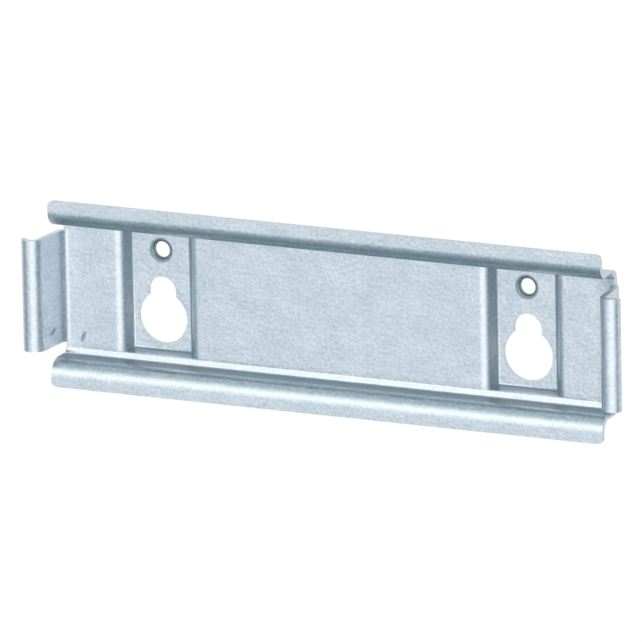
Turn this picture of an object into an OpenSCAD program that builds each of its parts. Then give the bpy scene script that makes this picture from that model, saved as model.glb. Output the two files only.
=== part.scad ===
// Short top-hat mounting rail, pressed and folded from one piece of zinc-plated sheet steel.
// X runs along the rail, Y across it, and +Z is the side that devices clip on to.
// The origin is under the middle of the rail, on the plane of the backs of the two feet.

/* [Rail] */
// Length of the rail without its end tabs
rail_length = 110; // [103:1:400]
// Width over both lips
rail_width = 35; // [33:0.5:60]
// Depth from the back of the web to the front of the lips
rail_depth = 7.5; // [6.5:0.5:20]
// Clear width of the channel between the side walls
channel_width = 25; // [24:0.5:27]
// Thickness of the sheet
sheet = 1; // [0.6:0.1:1.2]
// Inside radius of the bends that carry the lips
lip_bend = 2; // [0.5:0.1:2.4]
// Inside radius of the bends beside the web
web_bend = 1; // [0.4:0.1:1.5]
// Radius on the four outer corners of the lips
lip_corner = 1; // [0.2:0.1:1.8]

/* [Pressed feet] */
// Distance between the middles of the two feet
foot_spacing = 73; // [30:1:78]
// Flat length of each foot along the rail
foot_flat = 11; // [10:0.1:12]
// How far the feet stand behind the web
foot_depth = 2.5; // [1.8:0.1:3.4]
// Slope of the walls at the two ends of each foot
foot_slope = 60; // [50:1:75]
// Slope of the long walls at the two sides of each foot
foot_side_slope = 80; // [76:1:86]
// Inside radius of the bend from the web down to a foot
foot_top_bend = 1; // [0.4:0.1:1.5]
// Inside radius of the bend where the slope meets the foot
foot_floor_bend = 0.5; // [0.3:0.1:1]

/* [Fixing holes] */
// Diameter of the round end of each keyhole, which passes a screw head
head_hole = 9.8; // [6:0.1:9.8]
// Width of the narrow end of each keyhole, which holds a screw shank
shank_slot = 5.6; // [3:0.1:5.8]
// Whole height of each keyhole
keyhole_height = 12.6; // [11:0.1:13]
// Distance of the round end's centre below the rail's centre line
head_drop = 4.9; // [4.6:0.1:5.4]
// Diameter of the small hole above each keyhole
small_hole = 3; // [2:0.1:3.6]
// Radius rolled on to the front rim of the small hole
small_hole_rim = 0.6; // [0.2:0.1:0.6]
// Distance of the small holes above the rail's centre line
small_hole_rise = 7.8; // [7.2:0.1:8]

/* [End tabs] */
// Width of the tabs
tab_width = 21; // [10:0.5:22]
// Height of the tab crests in front of the web
tab_rise = 9.6; // [7:0.1:14]
// Outward lean of the tabs
tab_lean = 5; // [0:1:15]
// Inside radius of the bend at the root of each tab
tab_root_bend = 1.2; // [0.4:0.1:2.4]
// Inside radius of the rolled crest of each tab
tab_crest_bend = 1; // [0.3:0.1:1.5]
// How far each crest is rolled over past square
tab_curl = 70; // [0:5:80]
// Straight length at the edge of each tab
tab_edge = 0.3; // [0.1:0.1:1.5]

/* [Hidden] */
$fn = 64;
web_back = foot_depth;
web_front = web_back + sheet;
// Width of a foot's mouth across the rail, just inside the bends beside the web
foot_mouth = channel_width - 2 * web_bend - 0.1;
keyhole_pitch = keyhole_height - head_hole / 2 - shank_slot / 2;
// Where a tab's root bend starts, so that its leg would meet the web at the end of the rail
tab_start = rail_length / 2 - tab_root_bend * tan(45 - tab_lean / 2);
// Longer than any distance that a cut has to clear
past = 30;
// Sloping faces pass this far inside their bends, so that they cross them and leave no sliver
knit = 0.0002;

// Height of the sheet's front face above the floor of the trough that the rail forms
channel_depth = rail_depth - sheet;

// Half the width of a trough's mouth, measured where its top bends meet the flat sheet
function mouth(floor_w, depth, slope, floor_bend, top_bend) =
    let (bends = floor_bend + top_bend + sheet)
    floor_w / 2 + bends * sin(slope) + (depth - bends * (1 - cos(slope))) / tan(slope);

// Section of a trough pressed into sheet whose front face is at y = 0, drawn up to y = top.
// With no skin it is the hollow itself; with a skin of one sheet it is everything out to the back.
module trough(floor_w, depth, slope, floor_bend, top_bend, skin, top) {
    half_mouth = mouth(floor_w, depth, slope, floor_bend, top_bend);
    normal = [sin(slope), -cos(slope)];
    crossing = slope == 90 ? 0 : knit;
    floor_r = floor_bend + skin;
    top_r = top_bend + sheet - skin;
    floor_centre = [floor_w / 2, floor_bend - depth];
    top_centre = [half_mouth, -top_bend - sheet];
    for (side = [0, 1]) mirror([side, 0]) {
        difference() {
            polygon([
                [-floor_w / 4, top],
                [half_mouth, top],
                top_centre,
                top_centre - (top_r - crossing) * normal,
                floor_centre + (floor_r - crossing) * normal,
                floor_centre,
                [floor_w / 2, -depth - skin],
                [-floor_w / 4, -depth - skin]
            ]);
            translate(top_centre) circle(top_r);
        }
        translate(floor_centre) circle(floor_r);
    }
}

// The rail's own channel, with Y to the right and Z up
module channel(skin) {
    trough(channel_width - 2 * web_bend, channel_depth, 90, web_bend, lip_bend, skin, 0);
}

// One foot, pressed into the web: its hollow, or with a skin of one sheet everything out to its back
module foot(skin) {
    top = skin > 0 ? -sheet / 2 : web_bend;
    intersection() {
        across_rail(channel_width + 2 * sheet)
            trough(foot_flat, foot_depth, foot_slope, foot_floor_bend, foot_top_bend, skin, top);
        along_rail(foot_spacing) foot_width(skin, top);
    }
}

// Section of a foot across the rail. Its side walls start where the bends beside the web end.
module foot_width(skin, top) {
    normal = [sin(foot_side_slope), -cos(foot_side_slope)];
    floor_r = foot_floor_bend + skin;
    edge = [foot_mouth / 2, 0] + skin * normal;
    floor_centre = [
        foot_mouth / 2 - foot_floor_bend / sin(foot_side_slope)
            - (foot_depth - foot_floor_bend) / tan(foot_side_slope),
        foot_floor_bend - foot_depth
    ];
    for (side = [0, 1]) mirror([side, 0]) {
        polygon([
            [-foot_mouth / 4, top],
            [edge.x + (top - edge.y) / tan(foot_side_slope), top],
            floor_centre + (floor_r - knit) * normal,
            floor_centre,
            [floor_centre.x, -foot_depth - skin],
            [-foot_mouth / 4, -foot_depth - skin]
        ]);
        translate(floor_centre) circle(floor_r);
    }
}

// Stands a flat drawing up so that its X runs along the rail and its Y points forwards
module across_rail(width) {
    rotate([90, 0, 0]) linear_extrude(width, center = true) children();
}

// Stands a flat drawing up so that its X runs across the rail and its Y points forwards
module along_rail(length) {
    rotate([90, 0, 90]) linear_extrude(length, center = true) children();
}

// Outline of the rail seen from the front, with its corners rounded
module lip_plan() {
    size = [rail_length, rail_width];
    square(size - [2 * lip_corner, 0], center = true);
    square(size - [0, 2 * lip_corner], center = true);
    for (x = [-1, 1], y = [-1, 1])
        translate([x * (rail_length / 2 - lip_corner), y * (rail_width / 2 - lip_corner)])
            circle(lip_corner);
}

// Top-hat section with its front face at z = 0, cut to length and rounded at the corners
module folded_rail() {
    intersection() {
        along_rail(rail_length) difference() {
            union() {
                channel(sheet);
                translate([-rail_width / 2, -sheet]) square([rail_width, sheet]);
            }
            channel(0);
        }
        translate([0, 0, -past]) linear_extrude(2 * past) lip_plan();
    }
}

// Keyhole and the small rolled hole above it, cut through a sheet whose front face is at z = 0
module fixing_holes() {
    translate([0, -head_drop, -past]) {
        cylinder(h = 2 * past, d = head_hole);
        translate([0, keyhole_pitch, 0]) cylinder(h = 2 * past, d = shank_slot);
        translate([-shank_slot / 2, 0, 0]) cube([shank_slot, keyhole_pitch, 2 * past]);
    }
    translate([0, small_hole_rise, 0]) {
        translate([0, 0, -past]) cylinder(h = 2 * past, d = small_hole);
        rotate_extrude() rolled_rim();
    }
}

// Half section of the metal that is missing where the front rim of the small hole is rolled
module rolled_rim() {
    reach = small_hole / 2 + small_hole_rim;
    difference() {
        translate([0, -small_hole_rim]) square([reach, 2 * small_hole_rim]);
        translate([reach, -small_hole_rim]) circle(small_hole_rim);
    }
}

// Section of the right-hand tab: it turns forwards out of the web, leans outwards along its leg,
// rolls over its crest and ends in a short straight edge. Its root bend starts at [0, 0], on the
// front face of the web.
module tab_section() {
    leg = [sin(tab_lean), cos(tab_lean)];
    outward = [cos(tab_lean), -sin(tab_lean)];
    edge = [cos(tab_curl), -sin(tab_curl)];
    edge_normal = [sin(tab_curl), cos(tab_curl)];
    root = [0, tab_root_bend];
    root_r = tab_root_bend + sheet;
    crest_r = tab_crest_bend + sheet;
    // Leg length that brings the top of the crest to its height above the web
    leg_length = (tab_rise - crest_r - root.y + (root_r + tab_crest_bend) * leg.x) / leg.y;
    crest = root + (root_r + tab_crest_bend) * outward + leg_length * leg;
    edge_end = crest + (tab_crest_bend - knit) * edge_normal + tab_edge * edge;
    past_edge = edge_end + 2 * sheet * edge_normal;
    difference() {
        union() {
            translate(root) circle(root_r);
            translate(crest) circle(crest_r);
            translate([-sheet, -sheet]) square([sheet, root_r]);
            polygon([root, root + root_r * outward, crest, root + leg_length * leg]);
            polygon([
                crest,
                crest + (crest_r - knit) * edge_normal,
                crest + (crest_r - knit) * edge_normal + (tab_edge + sheet) * edge,
                crest + (tab_edge + sheet) * edge
            ]);
        }
        // In front of the web and beside the leg's inner face
        translate(root) circle(tab_root_bend);
        polygon([
            [0, 0],
            root + (tab_root_bend - knit) * outward,
            root + (tab_root_bend + knit) * outward + (leg_length + crest_r) * leg,
            [-past, tab_rise],
            [-past, 0]
        ]);
        // Behind the leg, under the crest and beyond the edge
        translate(crest) circle(tab_crest_bend);
        polygon([
            crest + (tab_crest_bend - knit) * edge_normal,
            crest - (tab_crest_bend - knit) * outward,
            root + (root_r - knit) * outward - sheet * leg,
            root + (root_r - knit) * outward - sheet * leg + past * (outward - leg),
            [past, past_edge.y],
            past_edge,
            edge_end
        ]);
    }
}

// The rail as it leaves the press, with the front face of its web at z = 0
module pressed_rail() {
    difference() {
        union() {
            difference() {
                translate([0, 0, channel_depth]) folded_rail();
                // The web is cut away at both ends where the tabs fold up out of it
                for (side = [0, 1]) mirror([side, 0, 0])
                    translate([tab_start, -tab_width / 2, -2 * sheet])
                        cube([past, tab_width, 2 * sheet + web_bend]);
            }
            for (side = [0, 1]) mirror([side, 0, 0])
                translate([tab_start, 0, 0]) across_rail(tab_width) tab_section();
            for (x = [-1, 1]) translate([x * foot_spacing / 2, 0, 0]) foot(sheet);
        }
        for (x = [-1, 1]) translate([x * foot_spacing / 2, 0, 0]) {
            foot(0);
            translate([0, 0, -foot_depth]) fixing_holes();
        }
    }
}

module mounting_rail() {
    color("lightsteelblue") translate([0, 0, web_front]) pressed_rail();
}

mounting_rail();
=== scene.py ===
"""A short top-hat mounting rail, pressed and folded from one strip of zinc-plated sheet steel.

Everything is in metres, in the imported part's frame: X runs along the rail, Y across it, and +Z is
the side that devices clip on to. The rail lies on the backs of its two feet.
"""

import math

import bmesh
import bpy
from mathutils import Matrix, Vector


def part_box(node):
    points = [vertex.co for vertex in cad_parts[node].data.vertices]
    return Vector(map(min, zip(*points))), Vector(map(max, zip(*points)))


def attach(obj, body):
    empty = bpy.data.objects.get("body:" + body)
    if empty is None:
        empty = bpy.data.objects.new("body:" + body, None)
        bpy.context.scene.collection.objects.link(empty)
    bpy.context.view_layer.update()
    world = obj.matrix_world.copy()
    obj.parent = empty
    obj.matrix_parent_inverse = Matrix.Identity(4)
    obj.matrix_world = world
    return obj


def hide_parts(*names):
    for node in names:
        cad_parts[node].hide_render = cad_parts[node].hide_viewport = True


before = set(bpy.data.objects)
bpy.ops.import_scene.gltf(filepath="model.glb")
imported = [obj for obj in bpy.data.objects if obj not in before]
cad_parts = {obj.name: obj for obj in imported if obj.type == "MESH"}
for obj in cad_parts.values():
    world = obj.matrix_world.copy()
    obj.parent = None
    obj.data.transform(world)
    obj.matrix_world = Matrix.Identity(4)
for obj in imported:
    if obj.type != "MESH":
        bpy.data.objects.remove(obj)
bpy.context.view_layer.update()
scene = bpy.context.scene

# ---------------------------------------------------------------------------------------------
# The camera looks down on the open side of the rail from nearly three metres away, a little
# from the small-hole side and from the right, with the rail's length across the picture.
# ---------------------------------------------------------------------------------------------
MM = 0.001
LIP_FRONT = 10.0 * MM
CAMERA_DISTANCE = 2.725
CAMERA_ROLL = math.radians(-1.13)
PICTURE_WIDTH = 115.97 * MM
AIM_LEFT = 0.33 * MM
AIM_UP = 0.19 * MM
SENSOR_WIDTH = 36.0

back = Vector((0.4134, 0.2590, 0.8729)).normalized()
right = Vector((0, 1, 0)).cross(back).normalized()
right.rotate(Matrix.Rotation(CAMERA_ROLL, 3, back))
up = back.cross(right)
aim = Vector((0, 0, LIP_FRONT)) - AIM_LEFT * right + AIM_UP * up

camera_data = bpy.data.cameras.new("studio_camera")
camera_data.sensor_width = SENSOR_WIDTH
camera_data.lens = SENSOR_WIDTH * CAMERA_DISTANCE / PICTURE_WIDTH
camera_data.clip_start = 0.05
camera_data.clip_end = 20
camera = bpy.data.objects.new("studio_camera", camera_data)
camera_turn = Matrix((right, up, back)).transposed().to_4x4()
camera.matrix_world = Matrix.Translation(aim + CAMERA_DISTANCE * back) @ camera_turn
scene.collection.objects.link(camera)
scene.camera = camera

# ---------------------------------------------------------------------------------------------
# The rail is one strip of 1 mm steel. It is cut, pressed and folded first and plated last, so the
# zinc covers it all over, and its sheared edges and hole rims are slightly rounded.
# ---------------------------------------------------------------------------------------------
POINT_MERGE = 0.001 * MM
FLATNESS = math.radians(0.5)

WEB_FRONT = 3.5 * MM
WEB_BEND_START = 11.5 * MM
WEB_BEND_END = 12.5 * MM
WEB_BEND_RISE = 1.0 * MM
WEB_BEND_SLOPE = 0.4

EDGE_SHARPNESS = math.radians(40)
EDGE_ROUND = 0.12 * MM
LIP_EDGE_ROUND = 0.6 * MM
LIP_EDGE_DEPTH = 0.1 * MM

rail_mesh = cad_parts["mounting_rail"].data.copy()
rail_mesh.name = "zinc_plated_rail"
rail_mesh.materials.clear()
rail_bm = bmesh.new()
rail_bm.from_mesh(rail_mesh)
bmesh.ops.remove_doubles(rail_bm, verts=rail_bm.verts, dist=POINT_MERGE)
bmesh.ops.dissolve_limit(
    rail_bm,
    angle_limit=FLATNESS,
    verts=rail_bm.verts,
    edges=rail_bm.edges,
    use_dissolve_boundaries=False,
)

# The press leaves the inside of the web's bends as a shallow slope with a tight crease above it.
for vert in rail_bm.verts:
    across = abs(vert.co.y)
    above_web = vert.co.z - WEB_FRONT
    in_height = POINT_MERGE < above_web < WEB_BEND_RISE + POINT_MERGE
    if in_height and WEB_BEND_START < across < WEB_BEND_END + POINT_MERGE:
        vert.co.z = WEB_FRONT + WEB_BEND_SLOPE * (across - WEB_BEND_START)

lip_edge_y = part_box("mounting_rail")[1].y - LIP_EDGE_DEPTH
lip_front = max(vert.co.z for vert in rail_bm.verts if abs(vert.co.y) > lip_edge_y)


def sharp_edges():
    """The edges that the shears and punches leave sharp."""
    return [
        edge for edge in rail_bm.edges
        if edge.is_manifold and edge.calc_face_angle() > EDGE_SHARPNESS
    ]


def along_lip_front(edge):
    """Whether an edge runs along the front of a lip, where the shears rolled it over."""
    return all(
        abs(vert.co.y) > lip_edge_y and vert.co.z > lip_front - EDGE_ROUND for vert in edge.verts
    )


def round_over(edges, radius):
    """Round sheared edges with three narrow faces each."""
    bmesh.ops.bevel(
        rail_bm,
        geom=edges,
        offset=radius,
        offset_type="OFFSET",
        affect="EDGES",
        segments=3,
        profile=0.5,
        material=-1,
        clamp_overlap=True,
    )


round_over([edge for edge in sharp_edges() if along_lip_front(edge)], LIP_EDGE_ROUND)
round_over(sharp_edges(), EDGE_ROUND)
bmesh.ops.dissolve_degenerate(rail_bm, dist=POINT_MERGE, edges=rail_bm.edges)
for face in rail_bm.faces:
    face.smooth = True
rail_bm.to_mesh(rail_mesh)
rail_bm.free()

rail = bpy.data.objects.new("zinc_plated_rail", rail_mesh)
scene.collection.objects.link(rail)
even_shading = rail.modifiers.new("even_shading", "WEIGHTED_NORMAL")
even_shading.mode = "FACE_AREA"
even_shading.keep_sharp = True

# The zinc's colours: painted shade and dull zinc, the grain's darkest and lightest, and a painted
# highlight on the bends.
PAINTED_SHADE_AND_DULL_ZINC = (0.17, 0.25, 0.28, 1)
DARK_GRAIN = (0.37, 0.48, 0.59, 1)
LIGHT_GRAIN = (1.0, 1.0, 1.0, 1)
PAINTED_HIGHLIGHT_ZINC = (0.95, 0.96, 0.96, 1)

zinc = bpy.data.materials.new("zinc_plated_steel")
zinc.use_nodes = True
nodes = zinc.node_tree.nodes
links = zinc.node_tree.links
surface = nodes["Principled BSDF"]
surface.inputs["Metallic"].default_value = 1.0
place = nodes.new("ShaderNodeTexCoord")
spot = nodes.new("ShaderNodeSeparateXYZ")
links.new(place.outputs["Object"], spot.inputs["Vector"])
facing = nodes.new("ShaderNodeSeparateXYZ")
links.new(place.outputs["Normal"], facing.inputs["Vector"])


def feed(socket, value):
    """Give a socket a number or a colour, or link another node's output to it."""
    if isinstance(value, bpy.types.NodeSocket):
        links.new(value, socket)
    else:
        socket.default_value = value


def arithmetic(operation, *values):
    """Add a Math node that works on numbers and other nodes' outputs."""
    node = nodes.new("ShaderNodeMath")
    node.operation = operation
    for (socket, value) in zip(node.inputs, values):
        feed(socket, value)
    return node.outputs["Value"]


def fade(value, none, full):
    """Add a node that goes softly from 0 where the value is `none` to 1 where it is `full`."""
    node = nodes.new("ShaderNodeMapRange")
    node.interpolation_type = "SMOOTHSTEP"
    node.inputs["From Min"].default_value = none
    node.inputs["From Max"].default_value = full
    links.new(value, node.inputs["Value"])
    return node.outputs["Result"]


def band(value, none_below, full_from, full_to, none_above):
    """Add nodes that give 1 inside a band of values, 0 outside it, and fade at its two edges."""
    return arithmetic(
        "MULTIPLY", fade(value, none_below, full_from), fade(value, none_above, full_to)
    )


def blend(factor, first, second, way="MIX"):
    """Add a node that mixes two colours, each a colour or another node's output."""
    node = nodes.new("ShaderNodeMix")
    node.data_type = "RGBA"
    node.blend_type = way
    links.new(factor, node.inputs["Factor"])
    feed(node.inputs["A"], first)
    feed(node.inputs["B"], second)
    return node.outputs["Result"]


def noise(position, scale, detail):
    """Add a noise texture, with its scale in patches per metre."""
    node = nodes.new("ShaderNodeTexNoise")
    node.inputs["Scale"].default_value = scale
    node.inputs["Detail"].default_value = detail
    links.new(position, node.inputs["Vector"])
    return node.outputs["Fac"]


# Fine spangle, streaks drawn along the rail by the rollers, and broad clouds.
GRAIN_SCALE = 1700
CLOUD_SCALE = 230
STREAK_STRETCH = 10
drawn_out = nodes.new("ShaderNodeMapping")
drawn_out.inputs["Scale"].default_value = (1 / STREAK_STRETCH, 1, 1)
links.new(place.outputs["Object"], drawn_out.inputs["Vector"])
spangle = noise(place.outputs["Object"], GRAIN_SCALE, 3)
streaks = noise(drawn_out.outputs["Vector"], GRAIN_SCALE, 2)
clouds = noise(place.outputs["Object"], CLOUD_SCALE, 2)
grain = arithmetic(
    "MULTIPLY_ADD", streaks, 0.30, arithmetic("MULTIPLY_ADD", spangle, 1.40, -0.35)
)
grain_and_clouds = arithmetic("MULTIPLY_ADD", clouds, 0.3, arithmetic("MULTIPLY", grain, 0.7))
zinc_colour = blend(grain_and_clouds, DARK_GRAIN, LIGHT_GRAIN)

# A painted highlight lightens the bends, where the sheet starts to turn from facing straight up.
HIGHLIGHT_TURN = (0.74, 0.88, 0.965, 0.99)
painted_highlight = arithmetic("MULTIPLY", band(facing.outputs["Z"], *HIGHLIGHT_TURN), 0.35)
zinc_colour = blend(painted_highlight, zinc_colour, PAINTED_HIGHLIGHT_ZINC)

# Distances that serve both ends and both sides of the rail.
FOOT_SPACING = 73 * MM
SMALL_HOLE_RISE = 7.8 * MM
from_middle = arithmetic("ABSOLUTE", spot.outputs["X"])
from_centreline = arithmetic("ABSOLUTE", spot.outputs["Y"])
past_foot = arithmetic("SUBTRACT", from_middle, FOOT_SPACING / 2)
past_hole = arithmetic("SUBTRACT", spot.outputs["Y"], SMALL_HOLE_RISE)
from_foot = arithmetic("ABSOLUTE", past_foot)
from_hole = arithmetic(
    "SQRT",
    arithmetic("MULTIPLY_ADD", past_foot, past_foot, arithmetic("POWER", past_hole, 2)),
)

# Painted shade darkens the sheet where it is folded tightly: along the foot of each side wall, on
# the walls of the pressed feet and round the rolled rims of the small holes.
WALL_ACROSS = (11.9 * MM, 12.3 * MM, 12.8 * MM, 13.2 * MM)
WALL_HEIGHT = (4.2 * MM, 5.0 * MM, 7.0 * MM, 8.2 * MM)
FOOT_REACH = (7.6 * MM, 7.2 * MM)
FOOT_HEIGHT = (0.9 * MM, 1.1 * MM, 2.6 * MM, 3.4 * MM)
FOOT_WALL_TURN = (0.05, 0.12, 0.92, 0.99)
RIM_REACH = (1.2 * MM, 1.4 * MM, 2.1 * MM, 2.5 * MM)
# Painted shade in the crease at the foot of each side wall.
painted_wall_crease_shade = arithmetic(
    "MULTIPLY", band(from_centreline, *WALL_ACROSS), band(spot.outputs["Z"], *WALL_HEIGHT)
)
near_feet = arithmetic(
    "MULTIPLY", fade(from_foot, *FOOT_REACH), band(spot.outputs["Z"], *FOOT_HEIGHT)
)
# Painted shade on the feet's side walls, which turn away from the front.
painted_foot_wall_shade = arithmetic("MULTIPLY", near_feet, band(facing.outputs["Z"], *FOOT_WALL_TURN))
# Painted shade round the rims of the small holes.
painted_rim_shade = band(from_hole, *RIM_REACH)

# Two knocks from handling: a centre in millimetres, a turn in degrees, and half sizes in
# millimetres, the longest of them along the knock.
KNOCKS = (
    ((-51.6, -9.6, 3.5), (0, 0, -26.6), (0.38, 1.25, 1.0)),
    ((-55.4, -7.8, 7.9), (-57.5, 0, 0), (1.2, 1.30, 0.45)),
)
knocks = 0.0
for (centre, turn, half_size) in KNOCKS:
    around = nodes.new("ShaderNodeMapping")
    around.vector_type = "TEXTURE"
    around.inputs["Location"].default_value = [value * MM for value in centre]
    around.inputs["Rotation"].default_value = [math.radians(value) for value in turn]
    around.inputs["Scale"].default_value = [value * MM for value in half_size]
    links.new(place.outputs["Object"], around.inputs["Vector"])
    reach = nodes.new("ShaderNodeVectorMath")
    reach.operation = "LENGTH"
    links.new(around.outputs["Vector"], reach.inputs[0])
    knocks = arithmetic("MAXIMUM", knocks, fade(reach.outputs["Value"], 1.2, 0.3))

# Painted shade in the creases, on the feet's walls and round the rims, and the dull zinc of the
# knocks, all darken towards one colour.
painted_shade_and_dullness = 0.0
for (patch, strength) in (
    (painted_wall_crease_shade, 0.75),
    (painted_foot_wall_shade, 0.45),
    (painted_rim_shade, 0.75),
    (knocks, 0.6),
):
    painted_shade_and_dullness = arithmetic("MULTIPLY_ADD", patch, strength, painted_shade_and_dullness)
links.new(blend(painted_shade_and_dullness, zinc_colour, PAINTED_SHADE_AND_DULL_ZINC), surface.inputs["Base Color"])

# Light grain is a little rougher than dark grain, and the places with painted shade or knocks are
# rougher still.
LEAST_ROUGHNESS = 0.28
roughness = arithmetic("MULTIPLY_ADD", grain, 0.10, LEAST_ROUGHNESS)
roughness = arithmetic("MULTIPLY_ADD", painted_shade_and_dullness, 0.2, roughness)
links.new(roughness, surface.inputs["Roughness"])

# The web curves up slightly before each end tab, the sheet is a little wavy, the zinc is finely
# grained, and the knocks are dents.
UPTURN_START = 51.0 * MM
UPTURN_END = 54.8 * MM
UPTURN_ACROSS = (12.6 * MM, 12.0 * MM)
UPTURN_HEIGHT = 0.33 * MM
WAVE_HEIGHT = 0.07 * MM
GRAIN_HEIGHT = 0.02 * MM
KNOCK_DEPTH = 0.10 * MM
before_tab = nodes.new("ShaderNodeMapRange")
before_tab.inputs["From Min"].default_value = UPTURN_START
before_tab.inputs["From Max"].default_value = UPTURN_END
links.new(from_middle, before_tab.inputs["Value"])
upturn = arithmetic(
    "MULTIPLY",
    fade(from_centreline, *UPTURN_ACROSS),
    arithmetic("POWER", before_tab.outputs["Result"], 2),
)
relief = None
for (shape, height, sunk) in (
    (upturn, UPTURN_HEIGHT, False),
    (clouds, WAVE_HEIGHT, False),
    (grain, GRAIN_HEIGHT, False),
    (knocks, KNOCK_DEPTH, True),
):
    bump = nodes.new("ShaderNodeBump")
    bump.inputs["Distance"].default_value = height
    bump.invert = sunk
    links.new(shape, bump.inputs["Height"])
    if relief is not None:
        links.new(relief, bump.inputs["Normal"])
    relief = bump.outputs["Normal"]
links.new(relief, surface.inputs["Normal"])
rail_mesh.materials.append(zinc)

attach(rail, "root")
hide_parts("mounting_rail")

# ---------------------------------------------------------------------------------------------
# The floor is a plain white sheet just under the feet, which keeps a faint shadow of the rail.
# What the eye sees of it is nearly all its own white, and the zinc mirrors it a little darker.
# ---------------------------------------------------------------------------------------------
FLOOR_HALF = 3.0
FLOOR_DROP = 0.03 * MM
PAPER = (0.85, 0.86, 0.87, 1)
OWN_WHITE = 0.85
SEEN_STRENGTH = 1.10
MIRRORED_STRENGTH = 0.90

floor_bm = bmesh.new()
bmesh.ops.create_grid(
    floor_bm,
    x_segments=1,
    y_segments=1,
    size=FLOOR_HALF,
    matrix=Matrix.Translation((0, 0, -FLOOR_DROP)),
)
floor_mesh = bpy.data.meshes.new("floor")
floor_bm.to_mesh(floor_mesh)
floor_bm.free()
floor = bpy.data.objects.new("floor", floor_mesh)
scene.collection.objects.link(floor)

paper = bpy.data.materials.new("white_paper")
paper.use_nodes = True
nodes = paper.node_tree.nodes
links = paper.node_tree.links
paper_surface = nodes["Principled BSDF"]
paper_surface.inputs["Base Color"].default_value = PAPER
paper_surface.inputs["Roughness"].default_value = 0.9
paper_white = nodes.new("ShaderNodeEmission")
paper_white.inputs["Color"].default_value = (1, 1, 1, 1)
ray = nodes.new("ShaderNodeLightPath")
seen_or_mirrored = arithmetic(
    "MAXIMUM", ray.outputs["Is Camera Ray"], ray.outputs["Is Glossy Ray"]
)
links.new(
    arithmetic(
        "MULTIPLY_ADD",
        ray.outputs["Is Glossy Ray"],
        MIRRORED_STRENGTH - SEEN_STRENGTH,
        SEEN_STRENGTH,
    ),
    paper_white.inputs["Strength"],
)
paper_mix = nodes.new("ShaderNodeMixShader")
links.new(arithmetic("MULTIPLY", seen_or_mirrored, OWN_WHITE), paper_mix.inputs["Fac"])
links.new(paper_surface.outputs["BSDF"], paper_mix.inputs[1])
links.new(paper_white.outputs["Emission"], paper_mix.inputs[2])
links.new(paper_mix.outputs["Shader"], nodes["Material Output"].inputs["Surface"])
floor_mesh.materials.append(paper)

# ---------------------------------------------------------------------------------------------
# The light is a large soft white screen in front of the open side of the rail, evenly lit in its
# middle. Round it the studio is a cool grey, darkest below and a pale blue-green overhead.
# ---------------------------------------------------------------------------------------------
# Azimuth turns from +Z towards +X and elevation rises towards +Y, both in degrees. Each edge of
# the screen is where its light starts and where it is full.
SCREEN_COLOUR = (1.12, 1.045, 1.01, 1)
SCREEN_LEFT = (-70, 14)
SCREEN_RIGHT = (82, 32)
SCREEN_BOTTOM = (-36, 2)
SCREEN_TOP = (60, 18)
SCREEN_CORE = 0.54
STUDIO_TONES = (
    (-70, (0.09, 0.155, 0.175, 1)),
    (-35, (0.24, 0.34, 0.385, 1)),
    (0, (0.25, 0.35, 0.40, 1)),
    (50, (0.42, 0.52, 0.55, 1)),
    (88, (0.72, 0.90, 0.94, 1)),
)

studio = bpy.data.worlds.new("studio")
scene.world = studio
studio.use_nodes = True
nodes = studio.node_tree.nodes
links = studio.node_tree.links
direction = nodes.new("ShaderNodeSeparateXYZ")
links.new(nodes.new("ShaderNodeTexCoord").outputs["Generated"], direction.inputs["Vector"])
azimuth = arithmetic("ARCTAN2", direction.outputs["X"], direction.outputs["Z"])
elevation = arithmetic("ARCSINE", direction.outputs["Y"])

screen = 1.0
for (angle, (start, full)) in (
    (azimuth, SCREEN_LEFT),
    (azimuth, SCREEN_RIGHT),
    (elevation, SCREEN_BOTTOM),
    (elevation, SCREEN_TOP),
):
    edge = fade(angle, math.radians(start), math.radians(full))
    screen = arithmetic("MULTIPLY", screen, edge)
screen = arithmetic("MINIMUM", arithmetic("DIVIDE", screen, SCREEN_CORE), 1.0)

height = nodes.new("ShaderNodeMapRange")
height.inputs["From Min"].default_value = math.radians(-90)
height.inputs["From Max"].default_value = math.radians(90)
links.new(elevation, height.inputs["Value"])
tones = nodes.new("ShaderNodeValToRGB")
links.new(height.outputs["Result"], tones.inputs["Fac"])
while len(tones.color_ramp.elements) < len(STUDIO_TONES):
    tones.color_ramp.elements.new(0.5)
for (element, (degrees, tone)) in zip(tones.color_ramp.elements, STUDIO_TONES):
    element.position = (degrees + 90) / 180
    element.color = tone
links.new(
    blend(screen, tones.outputs["Color"], SCREEN_COLOUR, "ADD"), nodes["Background"].inputs["Color"]
)

scene.view_settings.view_transform = "Standard"
